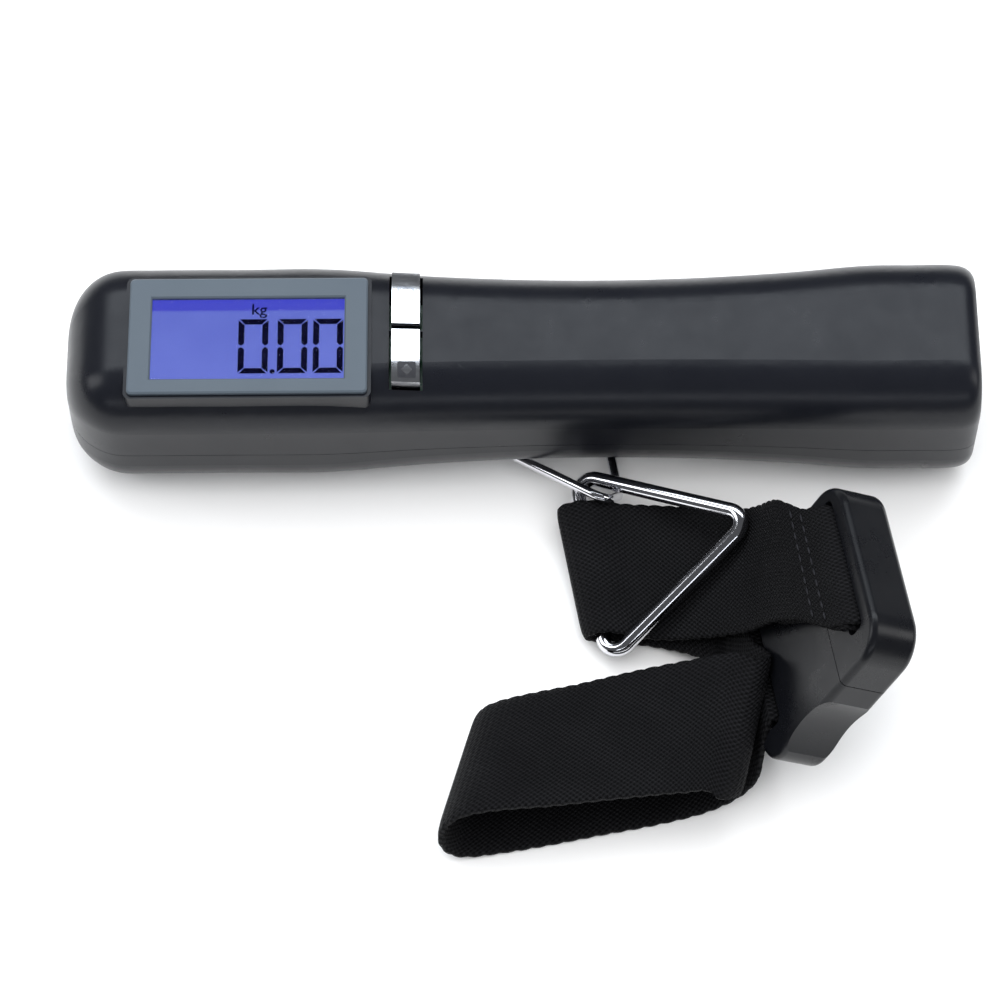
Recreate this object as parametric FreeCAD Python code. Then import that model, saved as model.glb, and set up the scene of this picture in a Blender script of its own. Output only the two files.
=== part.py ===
import FreeCAD, Part
import math
import os

from FreeCAD import Placement, Rotation, Vector

# Digital luggage scale: a waisted handle with a display, a wire ring on its load hook,
# a triangular link, and a loop of flat webbing closed by a side-release buckle.
# Frame: X along the handle, +Y to its far side, +Z up through the display.
# Z = 0 is the surface it rests on.
# All sizes are in millimetres.

# Handle
HANDLE_LENGTH = 150.0
END_WIDTH = 30.0
END_HEIGHT = 29.5
UPPER_EDGE_RADIUS = 8.3
LOWER_EDGE_RADIUS = 10.6
WAIST_WIDTH = 27.0
WAIST_HEIGHT = 26.0
WAIST_X = 13.0
WAIST_HALF_SPAN = 44.0
AXIS_Z = END_HEIGHT / 2
LEFT_ROUND = 10.0
RIGHT_DOME = 4.0
WALL = 2.0
PARTING_Z = 14.0
PARTING_GAP = 0.1

# Display
DISPLAY_X = (-64.0, -25.0)
DISPLAY_Y = (-12.3, 9.3)
PLINTH_MARGIN = 0.6
PLINTH_TOP = END_HEIGHT
BEZEL_THICK = 0.8
WINDOW_X = (-60.3, -28.8)
WINDOW_Y = (-9.6, 5.6)
WELL_MARGIN = 1.2
GLASS_THICK = 1.8
LIGHT_GUIDE_THICK = 2.0
RUBBER_STRIP_HEIGHT = 3.0

# Buttons
BUTTON_X = (-21.1, -16.5)
BUTTON_GAP_Y = 1.1
BUTTON_FAR_Y = 10.9
BUTTON_NEAR_Y = -10.0
BUTTON_PROUD = 1.5
BUTTON_TRAVEL = 0.6
BUTTON_CLEARANCE = 0.45
BUTTON_STEM = 2.4
SWITCH_HEIGHT = 1.9

# Electronics
BOARD_X = (-60.5, -13.6)
BOARD_Y = (-10.4, 8.4)
BOARD_THICK = 1.6
BOARD_TOP = END_HEIGHT - GLASS_THICK - LIGHT_GUIDE_THICK - RUBBER_STRIP_HEIGHT

# Load cell and hook
HOOK_X = 3.5
HOOK_Y = -1.0
CELL_LENGTH = 42.0
CELL_WIDTH = 10.0
CELL_HEIGHT = 6.0
CELL_Z = 10.2
EYE_Z = 2.9
EYE_RADIUS = 1.35
RECESS_X = (-8.5, 19.0)
RECESS_HALF_WIDTH = 12.0
RECESS_ROOF = 6.2

# Small wire ring, folded towards the front: its base runs through the hook's eye, and its other end
# passes over one side of the link and under the next
RING_WIRE = 1.6
RING_BEND = 2.2
RING_BASE_HALF = 10.8
RING_YAW = 33.0
RING_OVER = Vector(14.0, -21.7, 9.8)
RING_UNDER = Vector(16.4, -17.0, 2.6)

# Triangular link
LINK_WIRE = 2.6
LINK_RADIUS = 19.6
LINK_BEND = 2.5
LINK_CENTRE = Vector(20.2, -30.2, 8.2)
LINK_FAR_CORNER = Vector(10.1, -16.5, 5.7)
LINK_TIP = Vector(35.4, -28.6, 15.5)

# Webbing
WEBBING_THICK = 1.4

# Buckle, in its own frame: x through its thickness, y across it, z along it, with its origin at its top end
BUCKLE_TOP = Vector(55.8, -46.4, 35.9)
BUCKLE_YAW = 8.0
BUCKLE_TILT = -11.0
BUCKLE_LEAN = 29.0
BUCKLE_LENGTH = 35.0
BUCKLE_WIDTH = 34.0
BUCKLE_THICK = 8.5
MALE_HEIGHT = 11.5
SLOT_LENGTH = 25.5
SLOT_SHIFT = 1.2
SLOT_HEIGHT = 3.6
END_BAR = 3.0
UPPER_CORNER = 6.0
LOWER_CORNER = 5.0
BUCKLE_EDGE = 1.1
PRONG_LENGTH = 13.0
BUCKLE_CLEARANCE = 0.3
ARM_THICK = 3.8
TONGUE_THICK = 3.2
TONGUE_WIDTH = 5.0
ARM_INNER = 11.2
SIDE_WALL = 3.0
SIDE_SCOOP_RADIUS = 17.0
SIDE_SCOOP_REACH = 15.6
SIDE_SCOOP_DROP = 11.0

# Battery
CELL_RADIUS = 10.0
COIN_THICK = 3.2
BATTERY_X = -38.0
COVER_LENGTH = 28.0
COVER_WIDTH = 21.5
COVER_TOP = 2.2


def save(name, shape):
    """Writes one node's shape."""
    shape.exportStep(f"parts/{name}.step")


def group(shapes):
    """Separate solids kept as one node."""
    return Part.makeCompound(shapes)


def box(x, y, z):
    """A box between (low, high) pairs."""
    size = [pair[1] - pair[0] for pair in (x, y, z)]
    return Part.makeBox(*size, Vector(x[0], y[0], z[0]))


def rod(radius, start, end):
    """A round bar from one point to another."""
    return Part.makeCylinder(radius, start.distanceToPoint(end), start, end - start)


def rounded(shape, radius, chosen):
    """Rounds the edges for which chosen(edge) is true."""
    return shape.makeFillet(radius, [edge for edge in shape.Edges if chosen(edge)])


def runs_along(edge, axis):
    """Whether a straight edge lies along a unit axis."""
    if not isinstance(edge.Curve, Part.Line):
        return False
    return abs(abs(edge.Curve.Direction.dot(axis)) - 1) < 1e-6


def waist_share(x):
    """How far the handle has narrowed at x: 1 at the waist, 0 beyond both ends of the grip."""
    share = (x - WAIST_X) / WAIST_HALF_SPAN
    return max(0.0, 1.0 - share * share)


def section_size(x, inset):
    """Width, height and the upper and lower corner radii of the handle's section at x."""
    share = waist_share(x)
    width = END_WIDTH + (WAIST_WIDTH - END_WIDTH) * share
    height = END_HEIGHT + (WAIST_HEIGHT - END_HEIGHT) * share
    end = HANDLE_LENGTH / 2 - inset
    round_radius = LEFT_ROUND - inset
    left = x + end
    right = end - x
    shrink = 0.0
    if left < round_radius:
        shrink = round_radius - math.sqrt(round_radius ** 2 - (round_radius - left) ** 2)
    if right < RIGHT_DOME:
        shrink = 0.5 * (RIGHT_DOME - math.sqrt(RIGHT_DOME ** 2 - (RIGHT_DOME - right) ** 2))
    inset += shrink
    least = 0.25 * (height - 2 * inset)
    upper = max(UPPER_EDGE_RADIUS - inset, least)
    lower = max(LOWER_EDGE_RADIUS - inset, least)
    return width - 2 * inset, height - 2 * inset, upper, lower


def section_wire(x, inset):
    """The handle's rounded section at x, as a closed wire."""
    width, height, upper, lower = section_size(x, inset)
    corners = [min(radius, 0.49 * min(width, height)) for radius in (upper, upper, lower, lower)]
    half_width = width / 2
    half_height = height / 2
    edges = []
    for turn in range(4):
        across, up = (half_width, half_height) if turn % 2 == 0 else (half_height, half_width)
        corner = corners[turn]
        points = [
            (across, -(up - corners[turn - 1])),
            (across, up - corner),
            (across - corner * (1 - math.sqrt(0.5)), up - corner * (1 - math.sqrt(0.5))),
            (across - corner, up),
        ]
        angle = math.pi / 2 * turn
        placed = [
            Vector(
                x,
                px * math.cos(angle) - py * math.sin(angle),
                AXIS_Z + px * math.sin(angle) + py * math.cos(angle),
            )
            for px, py in points
        ]
        edges.append(Part.LineSegment(placed[0], placed[1]).toShape())
        edges.append(Part.Arc(placed[1], placed[2], placed[3]).toShape())
    return Part.Wire(edges)


def handle_solid(inset):
    """The handle's whole rounded form, pulled in by inset all over."""
    end = HANDLE_LENGTH / 2 - inset
    round_radius = LEFT_ROUND - inset
    stations = [-end + share * round_radius for share in (0.01, 0.08, 0.25, 0.55, 0.8, 1.0)]
    stations += [-62.5, -59.0, -54.0, -43.0, -33.0, -29.0]
    stations += [-20.0, -8.0, 4.0, 16.0, 28.0, 40.0, 49.0, 55.0, 59.0, 65.0]
    stations += [end - RIGHT_DOME, end - 0.4 * RIGHT_DOME, end - 0.02]
    wires = [section_wire(x, inset) for x in stations]
    return Part.makeLoft(wires, True, False)


def half_space(low, high):
    """Everything between two heights."""
    reach = HANDLE_LENGTH
    return box((-reach, reach), (-reach, reach), (low, high))


def bosses(z_low, z_high, radius):
    """The four posts that the shell screws run in."""
    places = [(-66.0, 0.0), (-10.5, 7.0), (-10.5, -7.0), (60.0, 0.0)]
    return [rod(radius, Vector(x, y, z_low), Vector(x, y, z_high)) for x, y in places]


def upper_shell(hollow, outer):
    """Top half of the handle, with the display's well and the buttons' slot."""
    top = outer.common(half_space(PARTING_Z + PARTING_GAP, 60.0))
    plinth_x = (DISPLAY_X[0] - PLINTH_MARGIN, DISPLAY_X[1] + PLINTH_MARGIN)
    plinth_y = (DISPLAY_Y[0] - PLINTH_MARGIN, DISPLAY_Y[1] + PLINTH_MARGIN)
    plinth = box(plinth_x, plinth_y, (AXIS_Z + 4.0, PLINTH_TOP))
    plinth = rounded(plinth, 1.2, lambda edge: runs_along(edge, Vector(0, 0, 1)))
    shell = top.fuse(plinth).cut(hollow)
    shell = shell.cut(box(DISPLAY_X, DISPLAY_Y, (PLINTH_TOP, PLINTH_TOP + 5)))
    well_x = (WINDOW_X[0] - WELL_MARGIN, WINDOW_X[1] + WELL_MARGIN)
    well_y = (WINDOW_Y[0] - WELL_MARGIN, WINDOW_Y[1] + WELL_MARGIN)
    shell = shell.cut(box(well_x, well_y, (AXIS_Z + 6.0, PLINTH_TOP + 1)))
    for y_low, y_high in button_spans():
        gap = BUTTON_CLEARANCE
        slot = box(
            (BUTTON_X[0] - gap, BUTTON_X[1] + gap),
            (y_low - gap, y_high + gap),
            (AXIS_Z + 4.5, PLINTH_TOP + 6),
        )
        shell = shell.cut(slot)
    posts = [post.common(outer) for post in bosses(PARTING_Z + PARTING_GAP, AXIS_Z + 13.0, 2.6)]
    for post in posts:
        shell = shell.fuse(post)
    for hole in bosses(PARTING_Z - 1, AXIS_Z + 5.0, 0.9):
        shell = shell.cut(hole)
    return shell.removeSplitter()


def lower_shell(hollow, outer):
    """Bottom half of the handle, with the ring's recess, the hook's slot and the battery's opening."""
    bottom = outer.common(half_space(-5.0, PARTING_Z))
    shell = bottom.cut(hollow)
    recess_y = (-RECESS_HALF_WIDTH, RECESS_HALF_WIDTH)
    housing = box(
        (RECESS_X[0] - 1.5, RECESS_X[1] + 1.5),
        (-RECESS_HALF_WIDTH - 1.5, RECESS_HALF_WIDTH + 1.5),
        (AXIS_Z - WAIST_HEIGHT / 2 + 0.2, RECESS_ROOF + 1.5),
    )
    shell = shell.fuse(housing.common(outer))
    recess = box(RECESS_X, recess_y, (-5.0, RECESS_ROOF))
    recess = rounded(recess, 2.5, lambda edge: runs_along(edge, Vector(0, 0, 1)))
    shell = shell.cut(recess)
    hook_slot = box((HOOK_X - 2.4, HOOK_X + 2.4), (HOOK_Y - 3.4, HOOK_Y + 3.4), (0.0, RECESS_ROOF + 3))
    shell = shell.cut(hook_slot)
    for post in bosses(WALL / 2, PARTING_Z, 2.6):
        shell = shell.fuse(post.common(outer))
    for hole in bosses(-1.0, PARTING_Z + 1, 1.15):
        shell = shell.cut(hole)
    for head in bosses(-1.0, 4.2, 2.15):
        shell = shell.cut(head)
    opening = cover_box(0.15)
    shell = shell.cut(opening)
    well = Part.makeCylinder(CELL_RADIUS + 1.6, 6.0, Vector(BATTERY_X, 0, 2.6))
    well = well.cut(Part.makeCylinder(CELL_RADIUS + 0.3, 9.0, Vector(BATTERY_X, 0, -1.0)))
    shell = shell.fuse(well.common(outer).cut(opening))
    shell = shell.cut(Part.makeCylinder(CELL_RADIUS + 0.3, 6.0, Vector(BATTERY_X, 0, 0.2)))
    return shell.removeSplitter()


def cover_box(grow):
    """The battery cover's outline, larger by grow on the sides."""
    half = COVER_LENGTH / 2
    return box(
        (BATTERY_X - half - grow, BATTERY_X + half + grow),
        (-COVER_WIDTH / 2 - grow, COVER_WIDTH / 2 + grow),
        (-2.0, COVER_TOP + grow),
    )


def battery_cover(outer):
    """Snaps in from below; three grooves give the thumb a hold."""
    cover = cover_box(0.0).common(outer)
    for index in range(3):
        x = BATTERY_X + 6.0 + 2.4 * index
        cover = cover.cut(box((x, x + 1.0), (-5.0, 5.0), (-1.0, 0.45)))
    return cover


def button_spans():
    """The two buttons' lengths across the handle."""
    return [(BUTTON_NEAR_Y, -BUTTON_GAP_Y / 2), (BUTTON_GAP_Y / 2, BUTTON_FAR_Y)]


def button(y_low, y_high, outer_top):
    """A button cap that follows the handle's curve and stands proud of it, with a stem."""
    cap = box(BUTTON_X, (y_low, y_high), (BOARD_TOP + SWITCH_HEIGHT, PLINTH_TOP + 6))
    cap = cap.common(outer_top)
    hollow = box(
        (BUTTON_X[0] + 0.8, BUTTON_X[1] - 0.8),
        (y_low + 0.8, y_high - 0.8),
        (BOARD_TOP, PLINTH_TOP - 2.5),
    )
    cap = cap.cut(hollow)
    middle_x = (BUTTON_X[0] + BUTTON_X[1]) / 2
    middle_y = math.copysign(4.2, y_low + y_high)
    stem_low = BOARD_TOP + SWITCH_HEIGHT + 0.05
    stem_ends = [Vector(middle_x, middle_y, z) for z in (stem_low, PLINTH_TOP - 1.5)]
    stem = rod(BUTTON_STEM / 2, *stem_ends)
    return cap.fuse(stem).removeSplitter()


def switches():
    """The two dome switches under the buttons."""
    middle_x = (BUTTON_X[0] + BUTTON_X[1]) / 2
    made = []
    for y in (-4.2, 4.2):
        body = box((middle_x - 2.2, middle_x + 2.2), (y - 2.2, y + 2.2), (BOARD_TOP, BOARD_TOP + 1.1))
        plunger_top = BOARD_TOP + SWITCH_HEIGHT - BUTTON_TRAVEL - 0.1
        plunger = rod(1.1, Vector(middle_x, y, BOARD_TOP + 1.1), Vector(middle_x, y, plunger_top))
        made.append(body.fuse(plunger))
    return group(made)


def display_parts():
    """Bezel, window, glass, light guide and the rubber contact strips under the glass."""
    top = PLINTH_TOP + BEZEL_THICK
    bezel = box(DISPLAY_X, DISPLAY_Y, (PLINTH_TOP, top))
    bezel = rounded(bezel, 0.8, lambda edge: runs_along(edge, Vector(0, 0, 1)))
    bezel = bezel.cut(box(WINDOW_X, WINDOW_Y, (PLINTH_TOP - 1, top + 1)))
    bezel = bezel.makeChamfer(0.25, [edge for edge in bezel.Edges if edge.BoundBox.ZMin > top - 1e-6])
    fit = 0.05
    window = box(
        (WINDOW_X[0] + fit, WINDOW_X[1] - fit),
        (WINDOW_Y[0] + fit, WINDOW_Y[1] - fit),
        (PLINTH_TOP, top - 0.35),
    )
    well_x = (WINDOW_X[0] - WELL_MARGIN + 0.2, WINDOW_X[1] + WELL_MARGIN - 0.2)
    well_y = (WINDOW_Y[0] - WELL_MARGIN + 0.2, WINDOW_Y[1] + WELL_MARGIN - 0.2)
    glass_low = PLINTH_TOP - GLASS_THICK
    glass = box(well_x, well_y, (glass_low, PLINTH_TOP))
    guide_low = glass_low - LIGHT_GUIDE_THICK
    guide = box(well_x, (well_y[0] + 2.4, well_y[1] - 2.4), (guide_low, glass_low))
    strips = [
        box(well_x, (well_y[0] + 0.2, well_y[0] + 2.0), (BOARD_TOP, glass_low)),
        box(well_x, (well_y[1] - 2.0, well_y[1] - 0.2), (BOARD_TOP, glass_low)),
    ]
    save("display_bezel", bezel)
    save("display_window", window)
    save("lcd_glass", glass)
    save("backlight_guide", guide)
    save("contact_strips", group(strips))


def board_parts(room):
    """Circuit board, trimmed to the room in the handle, with its chips and its screws."""
    board_low = BOARD_TOP - BOARD_THICK
    board = box(BOARD_X, BOARD_Y, (board_low, BOARD_TOP)).common(room)
    screw_places = [(-58.5, -6.6), (-58.5, 2.6), (-23.8, 0.0)]
    for x, y in screw_places:
        board = board.cut(rod(0.9, Vector(x, y, board_low - 1), Vector(x, y, BOARD_TOP + 1)))
    save("circuit_board", board)
    controller = box((-48.0, -38.0), (-5.0, 5.0), (board_low - 1.6, board_low))
    save("controller_chip", controller)
    converter = box((-33.5, -29.5), (-2.5, 2.5), (board_low - 1.2, board_low))
    save("converter_chip", converter)
    crystal = rod(1.5, Vector(-53.5, -3.0, board_low - 1.5), Vector(-53.5, 3.0, board_low - 1.5))
    save("timing_crystal", crystal)
    screws = []
    for x, y in screw_places:
        shank = rod(0.8, Vector(x, y, board_low - 0.2), Vector(x, y, BOARD_TOP + 2.0))
        head = rod(1.5, Vector(x, y, board_low - 1.2), Vector(x, y, board_low))
        screws.append(shank.fuse(head))
    save("board_screws", group(screws))
    save("tact_switches", switches())


def battery_parts(outer):
    """Coin cell, its two contacts and the sliding cover."""
    low = COVER_TOP + 0.3
    coin = Part.makeCylinder(CELL_RADIUS, COIN_THICK, Vector(BATTERY_X, 0, low))
    coin = coin.makeFillet(0.3, coin.Edges[:1])
    save("coin_cell", coin)
    top = low + COIN_THICK
    plus = box((BATTERY_X - 3.0, BATTERY_X + 3.0), (-6.0, 6.0), (top, top + 0.4))
    save("battery_contact_plus", plus)
    minus = box((BATTERY_X + 4.0, BATTERY_X + 8.0), (-3.0, 3.0), (top, top + 0.4))
    save("battery_contact_minus", minus)
    save("battery_cover", battery_cover(outer))


def load_cell_parts():
    """Bending beam with its gauges, bracket and screws."""
    x_low = HOOK_X - 5.0
    x_high = x_low + CELL_LENGTH
    beam = box((x_low, x_high), (-CELL_WIDTH / 2, CELL_WIDTH / 2), (CELL_Z, CELL_Z + CELL_HEIGHT))
    middle = (x_low + x_high) / 2
    for x in (middle - 3.0, middle + 3.0):
        beam = beam.cut(rod(2.3, Vector(x, -CELL_WIDTH, CELL_Z + 3), Vector(x, CELL_WIDTH, CELL_Z + 3)))
    bracket_x = (x_high - 12.0, x_high)
    holes = [x_high - 9.0, x_high - 3.0]
    bracket = box(bracket_x, (-CELL_WIDTH / 2, CELL_WIDTH / 2), (5.2, CELL_Z))
    for x in holes:
        tube = rod(1.25, Vector(x, 0, 0), Vector(x, 0, 40))
        beam = beam.cut(tube)
        bracket = bracket.cut(tube)
    beam = beam.cut(rod(1.25, Vector(HOOK_X, 0, 0), Vector(HOOK_X, 0, 40)))
    save("load_cell", beam)
    save("load_cell_bracket", bracket)
    gauges = []
    for z in (CELL_Z - 0.2, CELL_Z + CELL_HEIGHT):
        for x in (middle - 3.0, middle + 3.0):
            gauges.append(box((x - 2.4, x + 2.4), (-2.0, 2.0), (z, z + 0.2)))
    save("strain_gauges", group(gauges))
    screws = []
    for x in holes:
        shank = rod(1.2, Vector(x, 0, 5.4), Vector(x, 0, CELL_Z + CELL_HEIGHT))
        head = rod(2.2, Vector(x, 0, CELL_Z + CELL_HEIGHT), Vector(x, 0, CELL_Z + CELL_HEIGHT + 1.6))
        screws.append(shank.fuse(head))
    save("load_cell_screws", group(screws))
    hook_screw = rod(1.2, Vector(HOOK_X, 0, CELL_Z - 1.0), Vector(HOOK_X, 0, CELL_Z + CELL_HEIGHT))
    hook_screw = hook_screw.fuse(
        rod(2.2, Vector(HOOK_X, 0, CELL_Z + CELL_HEIGHT), Vector(HOOK_X, 0, CELL_Z + CELL_HEIGHT + 1.6))
    )
    save("hook_screw", hook_screw)


def ring_base():
    """The middle of the ring's base wire, and the wire's direction."""
    yaw = math.radians(RING_YAW)
    return Vector(HOOK_X, HOOK_Y, EYE_Z), Vector(math.cos(yaw), math.sin(yaw), 0)


def hook_parts():
    """Flat steel hook with an eye for the small ring's base wire, hung from the beam's free end."""
    middle, base = ring_base()
    plate_x = (HOOK_X - 1.6, HOOK_X + 1.6)
    plate_y = (HOOK_Y - 2.4, HOOK_Y + 2.4)
    plate = box(plate_x, plate_y, (EYE_Z - 2.3, CELL_Z - 1.1))
    plate = rounded(plate, 1.5, lambda edge: runs_along(edge, Vector(1, 0, 0)) and edge.BoundBox.ZMax < EYE_Z)
    foot = box((HOOK_X - 3.0, HOOK_X + 4.0), (-4.0, 4.0), (CELL_Z - 2.2, CELL_Z))
    hook = plate.fuse(foot)
    hook = hook.cut(rod(EYE_RADIUS, middle - base * 8, middle + base * 8))
    hook = hook.cut(rod(1.25, Vector(HOOK_X, 0, CELL_Z - 1.2), Vector(HOOK_X, 0, CELL_Z + 1)))
    save("load_hook", hook.removeSplitter())


def bent_wire(corners, bend, radius):
    """A closed wire loop: straight round runs joined by round bends."""
    count = len(corners)
    bends = []
    solids = []
    for index, corner in enumerate(corners):
        back = (corners[index - 1] - corner).normalize()
        ahead = (corners[(index + 1) % count] - corner).normalize()
        half = math.acos(back.dot(ahead)) / 2
        trim = bend / math.tan(half)
        centre = corner + (back + ahead).normalize() * (bend / math.sin(half))
        start = corner + back * trim
        bends.append((start, corner + ahead * trim))
        disc = Part.Face(Part.Wire(Part.makeCircle(radius, start, back)))
        axis = (start - centre).cross(back * -1.0).normalize()
        solids.append(disc.revolve(centre, axis, 180 - 2 * math.degrees(half)))
    for index in range(count):
        solids.append(rod(radius, bends[index][1], bends[(index + 1) % count][0]))
    return solids[0].multiFuse(solids[1:]).removeSplitter()


def small_ring():
    """Wire ring with four bends; its base runs through the hook's eye."""
    middle, base = ring_base()
    corners = [middle + base * RING_BASE_HALF, RING_UNDER, RING_OVER, middle - base * RING_BASE_HALF]
    return bent_wire(corners, RING_BEND, RING_WIRE / 2)


def link_corners():
    """The link's far corner, tip and near corner, on one circle round its centre."""
    to_tip = (LINK_TIP - LINK_CENTRE).normalize()
    normal = (LINK_TIP - LINK_CENTRE).cross(LINK_FAR_CORNER - LINK_CENTRE).normalize()
    across = normal.cross(to_tip)
    angles = [math.radians(degrees) for degrees in (120, 0, 240)]
    return [LINK_CENTRE + (to_tip * math.cos(a) + across * math.sin(a)) * LINK_RADIUS for a in angles]


def link():
    """Triangular link that carries the webbing on its long side."""
    return bent_wire(link_corners(), LINK_BEND, LINK_WIRE / 2)


def webbing_frames(pairs):
    """The four corners of the webbing's section at each (far edge, near edge) pair."""
    frames = []
    for index, (far, near) in enumerate(pairs):
        before = pairs[max(index - 1, 0)]
        after = pairs[min(index + 1, len(pairs) - 1)]
        along = ((after[0] + after[1]) - (before[0] + before[1])).normalize()
        across = (near - far).normalize()
        half = along.cross(across).normalize() * (WEBBING_THICK / 2)
        frames.append([far + half, near + half, near - half, far - half])
    return frames


def ribbon(frames):
    """A closed strip of webbing through its sections, with flat facets."""
    corners = []
    for here, there in zip(frames, frames[1:]):
        for side in range(4):
            beside = (side + 1) % 4
            corners.append((here[side], here[beside], there[beside]))
            corners.append((here[side], there[beside], there[side]))
    for frame in (frames[0], frames[-1]):
        corners.append((frame[0], frame[1], frame[2]))
        corners.append((frame[0], frame[2], frame[3]))
    faces = [Part.Face(Part.makePolygon([a, b, c, a])) for a, b, c in corners]
    shell = Part.makeShell(faces)
    shell.sewShape()
    solid = Part.makeSolid(shell)
    return solid if solid.Volume > 0 else solid.reversed()


def edge_pair(far, near):
    """A section of webbing from two points given as (x, y, z)."""
    return Vector(*far), Vector(*near)


def webbing_stretches():
    """The webbing from the buckle's top slot round the link and the loop to its lower slot, by stretch."""
    return {
        "webbing_upper_run": [
            edge_pair((44.3, -33.4, 28.8), (47.3, -56.6, 32.5)),
            edge_pair((41.2, -29.2, 24.2), (43.4, -52.8, 27.4)),
            edge_pair((39.2, -26.6, 17.6), (39.6, -50.2, 21.4)),
            edge_pair((36.4, -24.4, 12.2), (36.6, -48.6, 14.6)),
            edge_pair((31.5, -22.8, 9.4), (32.6, -47.0, 9.6)),
            edge_pair((22.0, -21.3, 7.4), (24.0, -44.8, 4.2)),
            edge_pair((16.5, -21.2, 6.6), (18.4, -43.5, 3.0)),
        ],
        "webbing_link_fold": [
            edge_pair((12.0, -20.9, 7.3), (15.0, -43.1, 5.0)),
            edge_pair((8.6, -20.8, 7.0), (12.4, -43.2, 4.9)),
            edge_pair((6.3, -20.8, 4.9), (10.4, -43.3, 2.9)),
            edge_pair((8.6, -20.2, 2.9), (12.4, -43.3, 0.85)),
        ],
        "webbing_under_run": [
            edge_pair((12.0, -20.2, 2.7), (15.4, -43.3, 0.8)),
            edge_pair((21.0, -21.4, 3.4), (24.0, -45.7, 1.6)),
            edge_pair((32.0, -25.5, 6.2), (32.6, -51.0, 5.0)),
            edge_pair((34.2, -36.8, 8.8), (33.4, -61.0, 6.4)),
        ],
        "webbing_side_turn": [
            edge_pair((37.4, -49.2, 12.4), (34.2, -72.2, 8.4)),
            edge_pair((39.4, -52.8, 16.6), (33.6, -75.4, 10.2)),
        ],
        "webbing_loop_top": [
            edge_pair((37.2, -54.6, 17.8), (31.0, -76.8, 12.1)),
            edge_pair((34.0, -53.0, 16.0), (29.0, -75.2, 13.0)),
            edge_pair((28.6, -52.8, 13.0), (25.8, -75.0, 12.8)),
            edge_pair((20.0, -53.6, 10.8), (18.0, -75.6, 12.8)),
            edge_pair((8.0, -55.6, 9.0), (4.0, -77.2, 12.8)),
        ],
        "webbing_loop_end": [
            edge_pair((-3.5, -57.6, 7.6), (-9.0, -78.4, 12.4)),
            edge_pair((-6.8, -58.4, 5.8), (-12.6, -79.4, 9.6)),
            edge_pair((-7.4, -59.2, 3.6), (-13.2, -80.4, 5.2)),
            edge_pair((-5.4, -59.4, 1.4), (-11.0, -81.0, 1.8)),
        ],
        "webbing_loop_floor": [
            edge_pair((0.0, -58.4, 0.75), (-4.6, -80.2, 0.75)),
            edge_pair((14.0, -54.4, 0.75), (12.0, -77.6, 0.75)),
            edge_pair((28.0, -50.4, 0.75), (29.5, -74.0, 0.9)),
            edge_pair((34.0, -48.6, 1.6), (36.4, -72.0, 3.4)),
            edge_pair((36.4, -47.6, 3.6), (38.8, -71.2, 5.4)),
        ],
    }


def save_webbing():
    """Each stretch ends on the first section of the next, so that they meet face to face."""
    stretches = webbing_stretches()
    frames = webbing_frames([pair for pairs in stretches.values() for pair in pairs])
    first = 0
    for name, pairs in stretches.items():
        last = first + len(pairs)
        save(name, ribbon(frames[first : last + 1]))
        first = last


def buckle_place():
    """Where the buckle stands: leaning towards the handle's right end, its near side raised."""
    turn = Rotation(Vector(0, 0, 1), BUCKLE_YAW)
    turn = turn.multiply(Rotation(Vector(1, 0, 0), BUCKLE_TILT))
    turn = turn.multiply(Rotation(Vector(0, 1, 0), BUCKLE_LEAN))
    return Placement(BUCKLE_TOP, turn)


def middle_span(size):
    """A (low, high) pair centred on zero."""
    return -size / 2, size / 2


def on_broad_face(edge):
    """Whether an edge lies in one of the buckle's two broad faces."""
    bounds = edge.BoundBox
    return bounds.XLength < 1e-6 and abs(abs(bounds.XMin) - BUCKLE_THICK / 2) < 1e-6


def strap_slot(z_low):
    """The opening through the buckle's thickness that the webbing passes through."""
    slot_y = (SLOT_SHIFT - SLOT_LENGTH / 2, SLOT_SHIFT + SLOT_LENGTH / 2)
    slot = box(middle_span(2 * BUCKLE_THICK), slot_y, (z_low, z_low + SLOT_HEIGHT))
    return rounded(slot, 1.2, lambda edge: runs_along(edge, Vector(1, 0, 0)))


def buckle_male():
    """Top half: end bar, slot and shoulders, with two springy arms and a middle tongue below."""
    half_width = BUCKLE_WIDTH / 2
    block = box(middle_span(BUCKLE_THICK), middle_span(BUCKLE_WIDTH), (-MALE_HEIGHT, 0))
    block = rounded(
        block,
        UPPER_CORNER,
        lambda edge: runs_along(edge, Vector(1, 0, 0)) and edge.BoundBox.ZMin > -MALE_HEIGHT / 2,
    )
    block = rounded(
        block,
        BUCKLE_EDGE,
        lambda edge: on_broad_face(edge) and edge.BoundBox.ZMax > -MALE_HEIGHT / 2,
    )
    block = block.cut(strap_slot(-END_BAR - SLOT_HEIGHT))
    tongue_low = -MALE_HEIGHT - PRONG_LENGTH
    tongue = box(middle_span(TONGUE_THICK), middle_span(TONGUE_WIDTH), (tongue_low, -MALE_HEIGHT))
    made = block.fuse(tongue)
    outer = half_width - SIDE_WALL
    for arm_y in ((ARM_INNER, outer), (-outer, -ARM_INNER)):
        arm = box(middle_span(ARM_THICK), arm_y, (tongue_low + 1.5, -MALE_HEIGHT))
        made = made.fuse(arm)
    return made.removeSplitter()


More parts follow.
